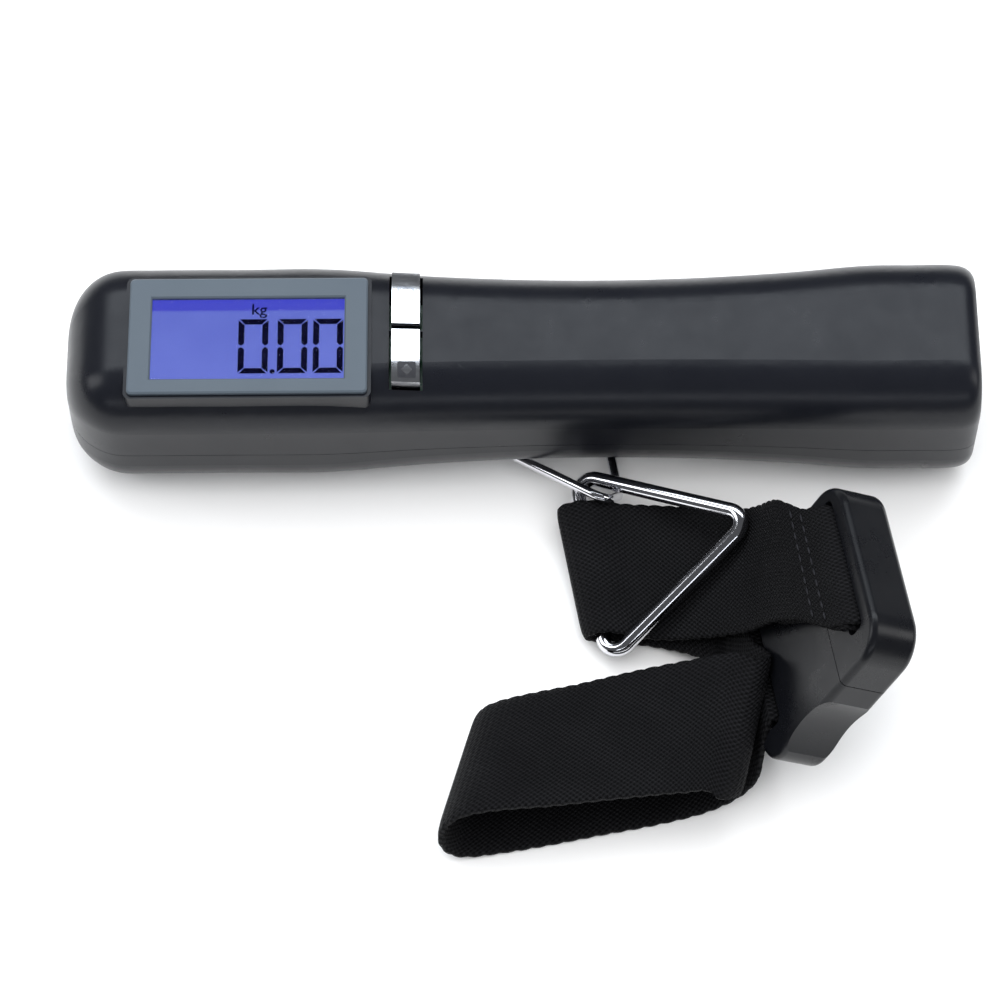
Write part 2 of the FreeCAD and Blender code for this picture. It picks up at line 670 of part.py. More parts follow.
def buckle_female():
    """Lower half: a hollow housing, waisted where it is squeezed, with the lower webbing slot."""
    half_width = BUCKLE_WIDTH / 2
    top = -MALE_HEIGHT - BUCKLE_CLEARANCE / 2
    block = box(middle_span(BUCKLE_THICK), middle_span(BUCKLE_WIDTH), (-BUCKLE_LENGTH, top))
    block = rounded(
        block,
        LOWER_CORNER,
        lambda edge: runs_along(edge, Vector(1, 0, 0)) and edge.BoundBox.ZMax < -BUCKLE_LENGTH / 2,
    )
    block = rounded(block, BUCKLE_EDGE, lambda edge: on_broad_face(edge) and edge.BoundBox.ZMin < top - 1)
    gap = 2 * BUCKLE_CLEARANCE
    inner_width = BUCKLE_WIDTH - 2 * SIDE_WALL + gap
    cavity_low = -MALE_HEIGHT - PRONG_LENGTH - 1.0
    block = block.cut(box(middle_span(ARM_THICK + gap), middle_span(inner_width), (cavity_low, top + 1)))
    for side in (-1, 1):
        scoop_y = side * (half_width + SIDE_SCOOP_REACH)
        scoop_z = top - SIDE_SCOOP_DROP
        scoop_ends = [Vector(x, scoop_y, scoop_z) for x in (-BUCKLE_THICK, BUCKLE_THICK)]
        block = block.cut(rod(SIDE_SCOOP_RADIUS, *scoop_ends))
    block = block.cut(strap_slot(-BUCKLE_LENGTH + END_BAR))
    return block.removeSplitter()


def shell_screws():
    """Four screws that hold the shells together, their heads sunk in the lower shell."""
    made = []
    for head, shank in zip(bosses(2.6, 4.2, 2.0), bosses(4.2, AXIS_Z + 4.5, 0.85)):
        made.append(head.fuse(shank))
    return group(made)


def main():
    os.makedirs("parts", exist_ok=True)
    outer = handle_solid(0.0)
    hollow = handle_solid(WALL)
    raised = handle_solid(-BUTTON_PROUD)
    save("upper_shell", upper_shell(hollow, outer))
    save("lower_shell", lower_shell(hollow, outer))
    save("shell_screws", shell_screws())
    display_parts()
    board_parts(handle_solid(WALL + 0.3))
    near, far = button_spans()
    save("unit_button", button(*near, raised))
    save("power_button", button(*far, raised))
    battery_parts(outer)
    load_cell_parts()
    hook_parts()
    save("small_ring", small_ring())
    save("link", link())
    save_webbing()
    place = buckle_place().toMatrix()
    save("buckle_male", buckle_male().transformGeometry(place))
    save("buckle_female", buckle_female().transformGeometry(place))


main()
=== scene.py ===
import math

import bmesh
import bpy
from mathutils import Matrix, Vector
from mathutils.bvhtree import BVHTree


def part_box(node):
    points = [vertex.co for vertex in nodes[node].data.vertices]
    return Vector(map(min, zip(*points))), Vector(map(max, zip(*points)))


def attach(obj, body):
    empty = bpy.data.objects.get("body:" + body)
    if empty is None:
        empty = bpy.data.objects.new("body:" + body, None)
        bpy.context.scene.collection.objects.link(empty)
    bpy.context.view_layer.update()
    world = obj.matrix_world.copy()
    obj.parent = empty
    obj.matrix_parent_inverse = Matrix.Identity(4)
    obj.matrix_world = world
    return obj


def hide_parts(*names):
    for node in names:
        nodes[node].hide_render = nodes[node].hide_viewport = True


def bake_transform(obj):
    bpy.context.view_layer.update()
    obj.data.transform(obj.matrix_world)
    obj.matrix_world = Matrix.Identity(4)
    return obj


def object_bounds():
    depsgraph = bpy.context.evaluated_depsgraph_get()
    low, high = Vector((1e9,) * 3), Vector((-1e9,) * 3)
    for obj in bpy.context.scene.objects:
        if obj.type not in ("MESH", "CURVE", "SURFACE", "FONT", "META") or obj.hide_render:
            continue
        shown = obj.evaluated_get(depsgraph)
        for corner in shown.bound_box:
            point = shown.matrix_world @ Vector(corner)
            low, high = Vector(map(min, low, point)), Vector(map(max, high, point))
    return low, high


# Digital luggage scale. Shapes are worked out in millimetres, and MM brings them to the frame's metres.
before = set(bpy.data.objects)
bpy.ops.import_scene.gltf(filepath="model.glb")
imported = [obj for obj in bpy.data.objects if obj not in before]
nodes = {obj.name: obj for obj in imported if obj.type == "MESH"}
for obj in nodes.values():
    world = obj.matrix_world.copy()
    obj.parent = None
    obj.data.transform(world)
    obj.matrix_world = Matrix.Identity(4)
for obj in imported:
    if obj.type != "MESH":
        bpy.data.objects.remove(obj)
cad_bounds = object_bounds()

MM = 0.001

# Camera: place in metres, angles in degrees, lens and sensor in millimetres
CAMERA_PLACE = (-0.0044, -0.3305, 0.5928)
CAMERA_TILT = 28.0
CAMERA_ROLL = -0.4
CAMERA_LENS = 145.3
CAMERA_SENSOR = 36.0
CAMERA_NEAREST = 0.01

# Webbing: its section, the spacing of its mesh, its weave, and the gap down to its tail
STRAP_WIDTH = 23.8
STRAP_THICK = 1.4
STRAP_STEP = 0.25
STRAP_COLUMNS = 30
EDGE_THINNING = 0.72
EDGE_SHARPNESS = 14
EVEN_SHARE = 0.5
RIB_PITCH = 1.0
RIB_DEPTH = 0.05
LANE_PITCH = 0.8
SELVEDGE_PITCH = 2.4
SELVEDGE_DEPTH = 0.22
TAIL_GAP = 1.55
MOUTH_SHIFT = 0.75
TAIL_SHIFT = 0.8
SPLINE_PARTS = 24
TANGENT_REACH = 3

# Stitching: two rows across the webbing, where they stand along it, and the size of one stitch
ROWS_AFTER_TURN = (5.5, 8.5)
STITCHES_IN_ROW = 10
STITCH_PITCH = 2.15
STITCH_LENGTH = 1.5
STITCH_RADIUS = 0.26
STITCH_FLATNESS = 0.7
STITCH_LIFT = 0.03
STITCH_RINGS = 8
STITCH_SIDES = 8
STITCH_ENDS = (0.08, 0.92)

# Buckle frame: top end, and the directions through its thickness, across it and along it
BUCKLE_TOP = Vector((55.8, -46.4, 35.9))
BUCKLE_TURN = (8.0, -11.0, 29.0)
UPPER_SLOT_DROP = 4.8
LOWER_SLOT_DROP = 30.2
SLOT_SHIFT = 1.2
BUCKLE_HALF_THICK = 4.25
UPPER_MOUTH_GAP = 0.6
LOWER_MOUTH_GAP = 0.4

# Display: seven-segment digits, their decimal point, the unit sign, and the pane's fit and rounded edges
DIGIT_TOP = 1.85
DIGIT_HEIGHT = 10.2
DIGIT_WIDTH = 4.9
DIGIT_STROKE = 1.0
DIGIT_GAP = 0.12
DIGIT_LEFT = (-46.1, -39.7, -33.9)
POINT_PLACE = -40.45
POINT_LIFT = 0.35
POINT_RADIUS = 0.42
INK_LIFT = 0.006
INK_THICK = 0.024
UNIT_SIZE = 2.9
UNIT_PLACE = (-44.1, 2.75)
UNIT_HALF_THICK = 0.012
UNIT_BOLDNESS = 0.02
PANE_LIFT = 0.05
PANE_EDGE = 0.12

# Button marks: the middle of each mark, and how far a mark stands out of the button and sinks into it
POWER_MARK = (-18.8, 6.1)
UNIT_MARK = (-18.6, -8.0)
DIAMOND_RADIUS = 0.95
MARK_SINK = 0.05
ABOVE_ALL = 60.0

# Cells per metre of the noises that vary a moulded face's colour, gloss and flatness, and the ripple's depth
TINT_CELLS = 90.0
GLOSS_CELLS = 160.0
RIPPLE_CELLS = 45.0
RIPPLE_DEPTH = 0.00003


# ---------------------------------------------------------------- materials


class Shader:
    """A procedural material in the making."""

    def __init__(self, name):
        self.material = bpy.data.materials.new(name)
        self.material.use_nodes = True
        self.tree = self.material.node_tree
        self.tree.nodes.clear()
        self.output = self.add("ShaderNodeOutputMaterial")
        self.body = self.add("ShaderNodeBsdfPrincipled")
        self.link(self.body.outputs[0], self.output.inputs["Surface"])
        self.place = self.add("ShaderNodeTexCoord").outputs["Object"]

    def add(self, kind):
        return self.tree.nodes.new(kind)

    def link(self, source, target):
        self.tree.links.new(source, target)

    def set(self, **values):
        for key, value in values.items():
            self.body.inputs[key.replace("_", " ")].default_value = value

    def noise(self, scale, detail=3.0, stretch=None, rough=0.5):
        """Noise at a number of cells per metre, stretched along an axis when asked."""
        node = self.add("ShaderNodeTexNoise")
        node.inputs["Scale"].default_value = scale
        node.inputs["Detail"].default_value = detail
        node.inputs["Roughness"].default_value = rough
        place = self.place
        if stretch:
            mapping = self.add("ShaderNodeMapping")
            mapping.inputs["Scale"].default_value = stretch
            self.link(place, mapping.inputs["Vector"])
            place = mapping.outputs["Vector"]
        self.link(place, node.inputs["Vector"])
        return node.outputs["Fac"]

    def span(self, value, low, high, from_low=0.3, from_high=0.7):
        """A value brought from one range to another."""
        node = self.add("ShaderNodeMapRange")
        self.link(value, node.inputs["Value"])
        node.inputs["From Min"].default_value = from_low
        node.inputs["From Max"].default_value = from_high
        node.inputs["To Min"].default_value = low
        node.inputs["To Max"].default_value = high
        return node.outputs["Result"]

    def between(self, value, first, second):
        """A colour between two, by a value from 0 to 1."""
        node = self.add("ShaderNodeMix")
        node.data_type = "RGBA"
        node.inputs["A"].default_value = (*first, 1)
        node.inputs["B"].default_value = (*second, 1)
        self.link(value, node.inputs["Factor"])
        return node.outputs["Result"]

    def maths(self, operation, first, second=None):
        """One arithmetic step on values or sockets."""
        node = self.add("ShaderNodeMath")
        node.operation = operation
        for socket, value in zip(node.inputs, (first, second)):
            if value is None:
                continue
            if isinstance(value, (int, float)):
                socket.default_value = value
            else:
                self.link(value, socket)
        return node.outputs[0]

    def bump(self, height, distance, strength=1.0, below=None):
        node = self.add("ShaderNodeBump")
        node.inputs["Distance"].default_value = distance
        node.inputs["Strength"].default_value = strength
        self.link(height, node.inputs["Height"])
        if below is not None:
            self.link(below, node.inputs["Normal"])
        self.link(node.outputs["Normal"], self.body.inputs["Normal"])
        return node.outputs["Normal"]

    def colour(self, socket):
        self.link(socket, self.body.inputs["Base Color"])

    def roughness(self, socket):
        self.link(socket, self.body.inputs["Roughness"])


def moulded(name, dark, light, rough, grain, depth, gloss=0.5):
    """Moulded plastic: a fine eroded grain over a slight ripple, uneven in its gloss and colour."""
    shader = Shader(name)
    shader.colour(shader.between(shader.noise(TINT_CELLS, 4.0), dark, light))
    shader.roughness(shader.span(shader.noise(GLOSS_CELLS, 5.0, rough=0.65), *rough))
    coarse = shader.bump(shader.noise(RIPPLE_CELLS, 2.0), RIPPLE_DEPTH, 0.25)
    shader.bump(shader.noise(grain, 2.0), depth, 0.6, below=coarse)
    shader.set(Specular_IOR_Level=gloss)
    return shader.material


def metal(name, dark, light, rough, brushed=None, depth=0.0000015):
    """Metal with fine drawing or brushing marks and a little unevenness in its gloss."""
    shader = Shader(name)
    shader.set(Metallic=1.0)
    shader.colour(shader.between(shader.noise(220.0, 4.0), dark, light))
    marks = shader.noise(2600.0, 2.0, stretch=brushed or (1.0, 1.0, 1.0))
    shader.roughness(shader.span(marks, *rough))
    shader.bump(marks, depth, 0.5)
    return shader.material


def lit_display():
    """Backlit liquid crystal: an even blue glow with a painted shadow of the bezel along its far edge, and a
    faint pixel mottle.
    """
    shader = Shader("lcd_backlit")
    split = shader.add("ShaderNodeSeparateXYZ")
    shader.link(shader.place, split.inputs[0])
    # Painted shadow: past 3.3 to 3.7 mm across the display the glow turns a darker blue, standing in for the
    # bezel's shade on the recessed crystal.
    bezel_shadow_strip = shader.span(split.outputs["Y"], 0.0, 1.0, 3.3 * MM, 3.7 * MM)
    cloud = shader.span(shader.noise(60.0, 3.0), 0.0, 1.0)
    glow = shader.between(cloud, (0.105, 0.138, 0.52), (0.140, 0.182, 0.60))
    mix = shader.add("ShaderNodeMix")
    mix.data_type = "RGBA"
    shader.link(bezel_shadow_strip, mix.inputs["Factor"])
    shader.link(glow, mix.inputs["A"])
    # The darker blue of the painted bezel shadow.
    mix.inputs["B"].default_value = (0.048, 0.056, 0.50, 1)
    shader.link(mix.outputs["Result"], shader.body.inputs["Emission Color"])
    shader.set(Base_Color=(0.01, 0.01, 0.03, 1), Emission_Strength=1.0, Roughness=0.35,
               Specular_IOR_Level=0.0)
    return shader.material


def clear_pane():
    """The display's clear window: nearly colourless, with a hard glossy face."""
    shader = Shader("window_pane")
    shader.set(Transmission_Weight=1.0, IOR=1.04, Base_Color=(0.96, 0.97, 1.0, 1))
    shader.roughness(shader.span(shader.noise(300.0, 4.0), 0.0, 0.02))
    return shader.material


def weave():
    """Black polyester webbing: plain weave of ribs and lanes, with loose fibres and a soft sheen; its colour
    holds painted shade, lighter on the raised weave and darker in its hollows.
    """
    shader = Shader("webbing_weave")
    uv = shader.add("ShaderNodeUVMap")
    uv.uv_map = "weave"
    split = shader.add("ShaderNodeSeparateXYZ")
    shader.link(uv.outputs[0], split.inputs[0])
    turn = 2 * math.pi / MM
    along = shader.maths("SINE", shader.maths("MULTIPLY", split.outputs["X"], turn / RIB_PITCH))
    across = shader.maths("SINE", shader.maths("MULTIPLY", split.outputs["Y"], turn / LANE_PITCH))
    checks = shader.maths("MULTIPLY", along, across)
    fibre = shader.noise(5200.0, 2.0, rough=0.7)
    height = shader.maths("ADD", checks, shader.maths("MULTIPLY", fibre, 0.9))
    # Painted shade: the colour follows the weave's height, lighter on the raised checks and darker between
    # them, then varied by a random tone.
    painted_weave_shade = shader.span(height, 0.0, 1.0, -0.6, 1.6)
    painted_shade_and_tone = shader.maths("MULTIPLY", painted_weave_shade, shader.span(shader.noise(120.0, 4.0), 0.7, 1.0))
    shader.colour(shader.between(painted_shade_and_tone, (0.0010, 0.0010, 0.0012), (0.0125, 0.0125, 0.0140)))
    shader.roughness(shader.span(fibre, 0.55, 0.8))
    shader.set(Specular_IOR_Level=0.12)
    shader.bump(height, 0.00016, 0.8)
    return shader.material


def plain(name, dark, light, rough, scale=400.0, bump_depth=0.00001, metallic=0.0, gloss=0.5):
    """A small hidden part's finish: uneven colour and gloss with a fine surface."""
    shader = Shader(name)
    shader.colour(shader.between(shader.noise(scale, 4.0), dark, light))
    shader.roughness(shader.span(shader.noise(scale * 2, 3.0), *rough))
    shader.set(Metallic=metallic, Specular_IOR_Level=gloss)
    shader.bump(shader.noise(scale * 6, 2.0), bump_depth, 0.5)
    return shader.material


SHELL = moulded("satin_black_shell", (0.0050, 0.0056, 0.0085), (0.0075, 0.0084, 0.0120), (0.27, 0.35),
                6500.0, 0.000006, gloss=0.30)
BUCKLE = moulded("satin_black_buckle", (0.0035, 0.0038, 0.0050), (0.0065, 0.0070, 0.0090), (0.24, 0.34),
                 4200.0, 0.000006, gloss=0.30)
BEZEL = moulded("grey_bezel", (0.078, 0.097, 0.118), (0.088, 0.109, 0.132), (0.36, 0.46),
                7000.0, 0.000008, gloss=0.12)
CHROME = metal("chrome_plate", (0.78, 0.79, 0.82), (0.86, 0.87, 0.90), (0.16, 0.26), (0.15, 1.0, 1.0))
WIRE = metal("bright_wire", (0.66, 0.66, 0.69), (0.80, 0.80, 0.83), (0.05, 0.13), (1.0, 1.0, 1.0))
STEEL = metal("zinc_steel", (0.48, 0.49, 0.50), (0.62, 0.62, 0.62), (0.28, 0.42))
ALUMINIUM = metal("milled_aluminium", (0.62, 0.63, 0.65), (0.74, 0.75, 0.76), (0.30, 0.45), (0.05, 1.0, 1.0))
BRASS = metal("contact_brass", (0.62, 0.47, 0.20), (0.74, 0.58, 0.28), (0.22, 0.36))
LCD = lit_display()
PANE = clear_pane()
WEAVE = weave()
SEGMENT = plain("segment_ink", (0.0015, 0.0015, 0.009), (0.003, 0.003, 0.014), (0.35, 0.5), 900.0, gloss=0.0)
THREAD = plain("black_thread", (0.008, 0.008, 0.010), (0.026, 0.026, 0.030), (0.5, 0.7),
               1500.0, 0.00003, gloss=0.12)
BOARD = plain("solder_mask", (0.010, 0.075, 0.035), (0.016, 0.105, 0.050), (0.25, 0.45))
CHIP = plain("chip_epoxy", (0.010, 0.010, 0.011), (0.022, 0.022, 0.024), (0.45, 0.62))
RUBBER = plain("grey_rubber", (0.075, 0.075, 0.080), (0.120, 0.120, 0.125), (0.65, 0.82))
GUIDE = plain("light_guide", (0.62, 0.66, 0.74), (0.72, 0.76, 0.84), (0.2, 0.4))
GAUGE = plain("gauge_film", (0.36, 0.18, 0.04), (0.52, 0.27, 0.07), (0.25, 0.42))
MARK = plain("pad_print", (0.015, 0.016, 0.020), (0.030, 0.031, 0.036), (0.4, 0.55), 900.0)
FAINT = plain("pressed_mark", (0.42, 0.45, 0.52), (0.52, 0.55, 0.62), (0.25, 0.4), 900.0, metallic=1.0)

FINISH = {
    SHELL: ("upper_shell", "lower_shell", "battery_cover"),
    BEZEL: ("display_bezel",),
    LCD: ("lcd_glass",),
    GUIDE: ("backlight_guide",),
    CHROME: ("power_button", "unit_button"),
    WIRE: ("small_ring", "link"),
    STEEL: ("shell_screws", "board_screws", "load_cell_screws", "hook_screw", "load_hook", "coin_cell",
            "load_cell_bracket", "timing_crystal"),
    ALUMINIUM: ("load_cell",),
    BRASS: ("battery_contact_plus", "battery_contact_minus"),
    BOARD: ("circuit_board",),
    CHIP: ("controller_chip", "converter_chip", "tact_switches"),
    RUBBER: ("contact_strips",),
    GAUGE: ("strain_gauges",),
    BUCKLE: ("buckle_male", "buckle_female"),
}


def dress(obj, material):
    """Gives every slot of an object one material."""
    if not obj.material_slots:
        obj.data.materials.append(material)
    for place in obj.material_slots:
        place.material = material


for look, names in FINISH.items():
    for node_name in names:
        dress(nodes[node_name], look)


# ---------------------------------------------------------------- mesh helpers


def piece(name, mesh, material, body):
    """A finished mesh as a named object that rides on a body."""
    obj = bpy.data.objects.new(name, mesh)
    bpy.context.scene.collection.objects.link(obj)
    if material is not None:
        mesh.materials.append(material)
    if body:
        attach(obj, body)
    return obj


def mesh_of(name, verts, faces, smooth=False):
    mesh = bpy.data.meshes.new(name)
    mesh.from_pydata([tuple(v) for v in verts], [], faces)
    mesh.validate()
    for polygon in mesh.polygons:
        polygon.use_smooth = smooth
    return mesh


def prisms(name, outlines, low, high):
    """Flat prisms with the given (x, y) outlines in millimetres, between two heights."""
    made = bmesh.new()
    for outline in outlines:
        bottom = [made.verts.new((x * MM, y * MM, low * MM)) for x, y in outline]
        top = [made.verts.new((x * MM, y * MM, high * MM)) for x, y in outline]
        made.faces.new(top)
        made.faces.new(bottom[::-1])
        count = len(outline)
        for i in range(count):
            made.faces.new((bottom[i], bottom[(i + 1) % count], top[(i + 1) % count], top[i]))
    bmesh.ops.recalc_face_normals(made, faces=made.faces)
    mesh = bpy.data.meshes.new(name)
    made.to_mesh(mesh)
    made.free()
    return mesh


# ---------------------------------------------------------------- display


def segment_outlines(left, top):
    """The six lit segments of a seven-segment nought, with mitred ends."""
    stroke, gap = DIGIT_STROKE, DIGIT_GAP
    right = left + DIGIT_WIDTH
    bottom = top - DIGIT_HEIGHT
    middle = (top + bottom) / 2
    cut = gap * 0.7
    shapes = []
    for edge, inward in ((top, -1), (bottom, 1)):
        inner = edge + inward * stroke
        shapes.append([
            (left + gap + cut, edge),
            (right - gap - cut, edge),
            (right - stroke - cut, inner),
            (left + stroke + cut, inner),
        ])
    for edge, inward in ((left, 1), (right, -1)):
        inner = edge + inward * stroke
        for end, toward in ((top, -1), (bottom, 1)):
            shapes.append([
                (edge, end + toward * (gap + cut)),
                (inner, end + toward * (stroke + cut)),
                (inner, middle - toward * (stroke * 0.5 + gap)),
                (edge + inward * stroke * 0.5, middle - toward * gap * 0.8),
                (edge, middle - toward * stroke * 0.5),
            ])
    return shapes


def circle(x, y, radius, count=20):
    return [(x + radius * math.cos(2 * math.pi * i / count), y + radius * math.sin(2 * math.pi * i / count))
            for i in range(count)]


glass_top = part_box("lcd_glass")[1].z / MM
ink_low = glass_top + INK_LIFT
ink_high = ink_low + INK_THICK
outlines = []
for digit_left in DIGIT_LEFT:
    outlines += segment_outlines(digit_left, DIGIT_TOP)
outlines.append(circle(POINT_PLACE, DIGIT_TOP - DIGIT_HEIGHT + POINT_LIFT, POINT_RADIUS))
piece("display_digits", prisms("display_digits", outlines, ink_low, ink_high), SEGMENT, "handle")

unit_text = bpy.data.curves.new("display_unit", "FONT")
unit_text.body = "kg"
unit_text.size = UNIT_SIZE * MM
unit_text.extrude = UNIT_HALF_THICK * MM
unit_text.offset = UNIT_BOLDNESS * MM
unit_text.resolution_u = 6
unit_holder = bpy.data.objects.new("display_unit_text", unit_text)
bpy.context.scene.collection.objects.link(unit_holder)
bpy.context.view_layer.update()
unit_mesh = bpy.data.meshes.new_from_object(unit_holder.evaluated_get(bpy.context.evaluated_depsgraph_get()))
bpy.data.objects.remove(unit_holder)
unit_mesh.transform(Matrix.Translation(Vector((*UNIT_PLACE, ink_low + UNIT_HALF_THICK)) * MM))
unit_mesh.materials.clear()
piece("display_unit", unit_mesh, SEGMENT, "handle")

pane_low, pane_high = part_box("display_window")
pane = bmesh.new()
bmesh.ops.create_cube(pane, size=1.0)
size = pane_high - pane_low
lift = PANE_LIFT * MM
bmesh.ops.scale(pane, vec=(size.x, size.y, size.z - lift), verts=pane.verts)
bmesh.ops.translate(pane, vec=(pane_low + pane_high) / 2 + Vector((0, 0, lift / 2)), verts=pane.verts)
bmesh.ops.bevel(pane, geom=pane.edges[:], offset=PANE_EDGE * MM, segments=2, affect="EDGES", profile=0.5)
pane_mesh = bpy.data.meshes.new("display_pane")
pane.to_mesh(pane_mesh)
pane.free()
pane_obj = piece("display_pane", pane_mesh, PANE, "handle")
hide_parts("display_window")


# ---------------------------------------------------------------- button marks


def rounded_square(x, y, half_x, half_y, corner, count=5):
    """A rounded rectangle's outline."""
    points = []
    for quarter in range(4):
        sign_x, sign_y = ((1, 1), (-1, 1), (-1, -1), (1, -1))[quarter]
        for i in range(count + 1):
            angle = math.pi / 2 * (quarter + i / count)
            points.append((
                x + sign_x * (half_x - corner) + corner * math.cos(angle),
                y + sign_y * (half_y - corner) + corner * math.sin(angle),
            ))
    return points


def draped(name, outer, inner, node, thick, material, body):
    """A thin mark laid on a curved node: a filled outline, or a frame between two outlines."""
    source = nodes[node]
    tree = BVHTree.FromObject(source, bpy.context.evaluated_depsgraph_get())
    made = bmesh.new()
    rings = [outer] + ([inner] if inner else [])
    loops = []
    for ring in rings:
        loops.append([made.verts.new((x * MM, y * MM, 0)) for x, y in ring])
    count = len(outer)
    if inner:
        for i in range(count):
            j = (i + 1) % count
            made.faces.new((loops[0][i], loops[0][j], loops[1][j], loops[1][i]))
    else:
        made.faces.new(loops[0])
        bmesh.ops.triangulate(made, faces=made.faces[:])
    bmesh.ops.subdivide_edges(made, edges=made.edges[:], cuts=2, use_grid_fill=True)
    bmesh.ops.triangulate(made, faces=made.faces[:])
    extruded = bmesh.ops.extrude_face_region(made, geom=made.faces[:])
    upper = {v for v in extruded["geom"] if isinstance(v, bmesh.types.BMVert)}
    for vert in made.verts:
        hit = tree.ray_cast(Vector((vert.co.x, vert.co.y, ABOVE_ALL * MM)), Vector((0, 0, -1)))[0]
        vert.co.z = hit.z + (thick if vert in upper else -MARK_SINK) * MM
    bmesh.ops.recalc_face_normals(made, faces=made.faces)
    mesh = bpy.data.meshes.new(name)
    made.to_mesh(mesh)
    made.free()
    return piece(name, mesh, material, body)


bpy.context.view_layer.update()
frame_outer = rounded_square(*POWER_MARK, 1.35, 1.45, 0.5)
frame_inner = rounded_square(*POWER_MARK, 1.05, 1.15, 0.35)
square = rounded_square(*UNIT_MARK, 1.5, 1.35, 0.25)
diamond = circle(*UNIT_MARK, DIAMOND_RADIUS, count=4)
draped("power_mark", frame_outer, frame_inner, "power_button", 0.02, FAINT, "power_button")
draped("unit_mark", square, None, "unit_button", 0.02, MARK, "unit_button")
draped("unit_diamond", diamond, None, "unit_button", 0.05, CHROME, "unit_button")


# ---------------------------------------------------------------- webbing


yaw, tilt, lean = (math.radians(angle) for angle in BUCKLE_TURN)
buckle_turn = Matrix.Rotation(yaw, 3, "Z") @ Matrix.Rotation(tilt, 3, "X") @ Matrix.Rotation(lean, 3, "Y")


def in_buckle(x, y, z):
    return BUCKLE_TOP + buckle_turn @ Vector((x, y + SLOT_SHIFT, z))


def slot_section(x, z):
    """A section of webbing inside or at the mouth of one of the buckle's slots."""
    half = STRAP_WIDTH / 2
    return in_buckle(x, half, z), in_buckle(x, -half, z)


def beneath(section, before, gap):
    """The section that lies under another one."""
    along = (section[0] + section[1] - before[0] - before[1]).normalized()
    across = (section[1] - section[0]).normalized()
    down = along.cross(across).normalized() * gap
    if down.z > 0:
        down = -down
    return section[0] + down, section[1] + down


upper_mouth = slot_section(-BUCKLE_HALF_THICK - UPPER_MOUTH_GAP, -UPPER_SLOT_DROP + MOUTH_SHIFT)
main_sections = [
    ((44.6, -33.6, 29.0), (47.8, -56.8, 33.0)),
    ((41.2, -29.2, 24.2), (43.4, -52.8, 27.4)),
    ((39.2, -26.6, 17.6), (39.6, -50.2, 21.4)),
    ((36.4, -24.4, 12.2), (36.6, -48.6, 14.6)),
    ((31.5, -22.8, 9.4), (32.6, -47.0, 9.6)),
    ((22.0, -21.3, 7.4), (24.0, -44.8, 4.2)),
    ((16.5, -21.2, 6.6), (18.4, -43.5, 3.9)),
    ((12.0, -20.9, 7.3), (15.0, -43.1, 5.0)),
    ((8.6, -20.8, 7.0), (12.4, -43.2, 4.9)),
    ((6.3, -20.8, 4.9), (10.4, -43.3, 2.9)),
    ((8.6, -20.2, 2.9), (12.4, -43.3, 0.95)),
    ((12.0, -20.2, 2.7), (15.4, -43.3, 0.9)),
    ((21.0, -21.4, 3.4), (24.0, -45.7, 1.6)),
    ((31.0, -25.5, 5.8), (31.6, -51.0, 4.6)),
    ((34.2, -36.8, 8.8), (33.4, -61.0, 6.4)),
    ((37.4, -49.2, 12.4), (34.2, -72.2, 8.4)),
    ((39.4, -52.8, 16.6), (33.6, -75.4, 10.2)),
    ((37.2, -54.6, 17.8), (31.0, -76.8, 12.1)),
    ((34.0, -53.0, 16.0), (29.0, -75.2, 13.0)),
    ((28.6, -52.8, 13.0), (25.8, -75.0, 12.8)),
    ((20.0, -53.6, 10.8), (18.0, -75.6, 12.8)),
    ((8.0, -55.6, 9.0), (4.0, -77.2, 12.8)),
    ((-3.5, -57.6, 7.6), (-9.0, -78.4, 12.4)),
    ((-6.8, -58.4, 5.8), (-12.6, -79.4, 9.6)),
    ((-7.4, -59.2, 3.6), (-13.2, -80.4, 5.2)),
    ((-5.4, -59.4, 1.4), (-11.0, -81.0, 1.8)),
    ((0.0, -58.4, 0.85), (-4.6, -80.2, 0.85)),
    ((14.0, -54.4, 0.85), (12.0, -77.6, 0.85)),
    ((27.0, -50.6, 0.85), (28.5, -74.2, 0.95)),
    ((33.0, -48.6, 1.9), (34.6, -72.0, 3.0)),
    ((35.6, -46.6, 4.2), (37.4, -70.0, 5.8)),
]
main_sections = [(Vector(far), Vector(near)) for far, near in main_sections]
tail_mouth = slot_section(-BUCKLE_HALF_THICK - UPPER_MOUTH_GAP, -UPPER_SLOT_DROP - TAIL_SHIFT)
tail = [
    beneath(main_sections[2], main_sections[1], TAIL_GAP),
    beneath(main_sections[1], main_sections[0], TAIL_GAP),
    beneath(main_sections[0], upper_mouth, TAIL_GAP),
    tail_mouth,
    slot_section(0.6, -UPPER_SLOT_DROP - TAIL_SHIFT),
    slot_section(1.7, -UPPER_SLOT_DROP),
    slot_section(0.6, -UPPER_SLOT_DROP + MOUTH_SHIFT),
    upper_mouth,
]
lower = [
    slot_section(-BUCKLE_HALF_THICK - LOWER_MOUTH_GAP, -LOWER_SLOT_DROP),
    slot_section(2.6, -LOWER_SLOT_DROP),
]
sections = tail + main_sections + lower


def spline_point(points, index, share):
    """A point on a Catmull-Rom curve between points[index] and the next, spaced by chord."""
    p = [points[min(max(index + step, 0), len(points) - 1)] for step in (-1, 0, 1, 2)]
    knots = [0.0]
    for a, b in zip(p, p[1:]):
        knots.append(knots[-1] + max((b - a).length, 1e-4) ** 0.5)
    t = knots[1] + (knots[2] - knots[1]) * share
    row = p
    for level in range(1, 4):
        row = [
            row[i] * ((knots[i + level] - t) / (knots[i + level] - knots[i]))
            + row[i + 1] * ((t - knots[i]) / (knots[i + level] - knots[i]))
            for i in range(4 - level)
        ]
    return row[0]


